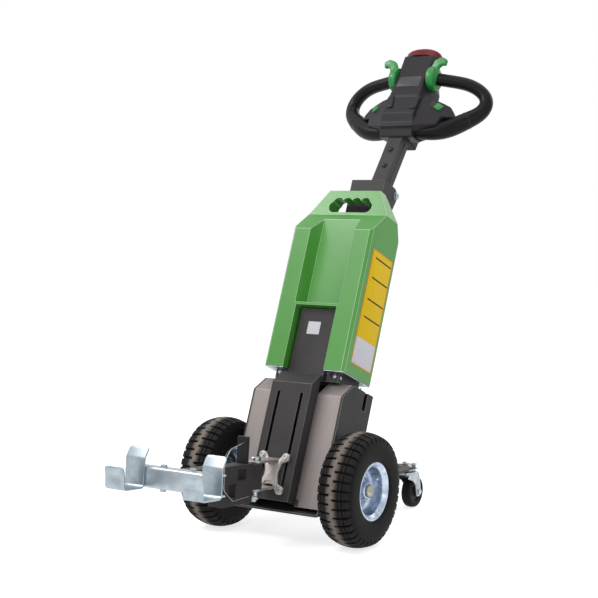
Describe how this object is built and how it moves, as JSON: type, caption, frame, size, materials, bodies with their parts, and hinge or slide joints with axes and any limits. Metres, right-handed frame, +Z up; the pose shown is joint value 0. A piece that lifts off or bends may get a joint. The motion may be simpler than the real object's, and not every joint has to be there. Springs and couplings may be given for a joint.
{
  "type": "electric tow tractor",
  "caption": "Pedestrian electric tow tractor with a leaning green battery pack, tiller grip, drive wheels, rear castors and a front coupling with towing hooks.",
  "frame": {"origin": "on the floor, in the middle of the overall length and width", "axes": "+Z up, -Y forward towards the towing hooks, +Y towards the operator, +X the tractor's right seen from the hooks"},
  "size_m": [0.4618, 1.1972, 1.172],
  "materials": {
    "black_steel": "powder coat",
    "stainless": "brushed",
    "zinc_plate": "zinc plated",
    "rim_steel": "zinc plated, pressed",
    "tyre_rubber": "matt",
    "castor_rubber": "matt",
    "axle_steel": "turned",
    "cast_aluminium": "cast",
    "motor_iron": "cast",
    "green_shell": "moulded",
    "black_shell": "moulded",
    "grip_sleeve": "moulded",
    "green_control": "moulded",
    "red_button": "moulded"
  },
  "bodies": {
    "chassis": {"base_plate": "black_steel", "back_plate": "black_steel", "deck": "black_steel", "centre_channel": "black_steel", "drive_block": "motor_iron", "seat_block": "black_steel", "seat_sheet": "zinc_plate", "mast": "black_steel", "tiller_pin": "zinc_plate", "castor_cross": "black_steel", "spider": "cast_aluminium", "coupling_pin": "zinc_plate", "side_plate_left": "black_steel", "cover_left": "stainless", "drive_axle_left": "axle_steel", "castor_arm_left": "black_steel", "castor_head_left": "zinc_plate", "side_plate_right": "black_steel", "cover_right": "stainless", "drive_axle_right": "axle_steel", "castor_arm_right": "black_steel", "castor_head_right": "zinc_plate"},
    "pack": {"pack_case": "green_shell"},
    "tiller": {"tiller_tube": "black_steel", "head_block": "black_shell", "grip": "grip_sleeve", "pod": "black_shell", "safety_button": "red_button", "heel_block": "black_shell", "thumb_wing_left": "green_control", "thumb_wing_right": "green_control"},
    "coupling": {"coupling_arm": "black_steel", "cross_bar": "zinc_plate", "lock_lever": "black_steel", "hook_left": "zinc_plate", "hook_right": "zinc_plate"},
    "drive_wheel_left": {"drive_tyre_left": "tyre_rubber", "drive_rim_left": "rim_steel"},
    "castor_left": {"castor_fork_left": "zinc_plate"},
    "castor_roller_left": {"castor_wheel_left": "castor_rubber"},
    "drive_wheel_right": {"drive_tyre_right": "tyre_rubber", "drive_rim_right": "rim_steel"},
    "castor_right": {"castor_fork_right": "zinc_plate"},
    "castor_roller_right": {"castor_wheel_right": "castor_rubber"}
  },
  "joints": [
    {"name": "drive_roll_left", "type": "hinge", "parent": "chassis", "child": "drive_wheel_left", "pos_m": [-0.1875, -0.08911, 0.13], "axis": [1, 0, 0], "continuous": true},
    {"name": "castor_swivel_left", "type": "hinge", "parent": "chassis", "child": "castor_left", "pos_m": [-0.1, 0.30289, 0.092], "axis": [0, 0, 1], "continuous": true},
    {"name": "castor_roll_left", "type": "hinge", "parent": "castor_left", "child": "castor_roller_left", "pos_m": [-0.1, 0.33289, 0.04], "axis": [1, 0, 0], "continuous": true},
    {"name": "drive_roll_right", "type": "hinge", "parent": "chassis", "child": "drive_wheel_right", "pos_m": [0.1875, -0.08911, 0.13], "axis": [1, 0, 0], "continuous": true},
    {"name": "castor_swivel_right", "type": "hinge", "parent": "chassis", "child": "castor_right", "pos_m": [0.1, 0.30289, 0.092], "axis": [0, 0, 1], "continuous": true},
    {"name": "castor_roll_right", "type": "hinge", "parent": "castor_right", "child": "castor_roller_right", "pos_m": [0.1, 0.33289, 0.04], "axis": [1, 0, 0], "continuous": true},
    {"name": "tiller_tip", "type": "hinge", "parent": "chassis", "child": "tiller", "pos_m": [0, 0.32766, 0.78427], "axis": [-1, 0, 0], "range_deg": [-12, 35]},
    {"name": "coupling_swing", "type": "hinge", "parent": "chassis", "child": "coupling", "pos_m": [0, -0.23111, 0.155], "axis": [0, 0.0854, 0.9963], "range_deg": [-45, 45]},
    {"name": "pack_lift", "type": "slide", "parent": "chassis", "child": "pack", "axis": [0, 0.3762, 0.9265], "range_m": [0, 0.3]}
  ]
}
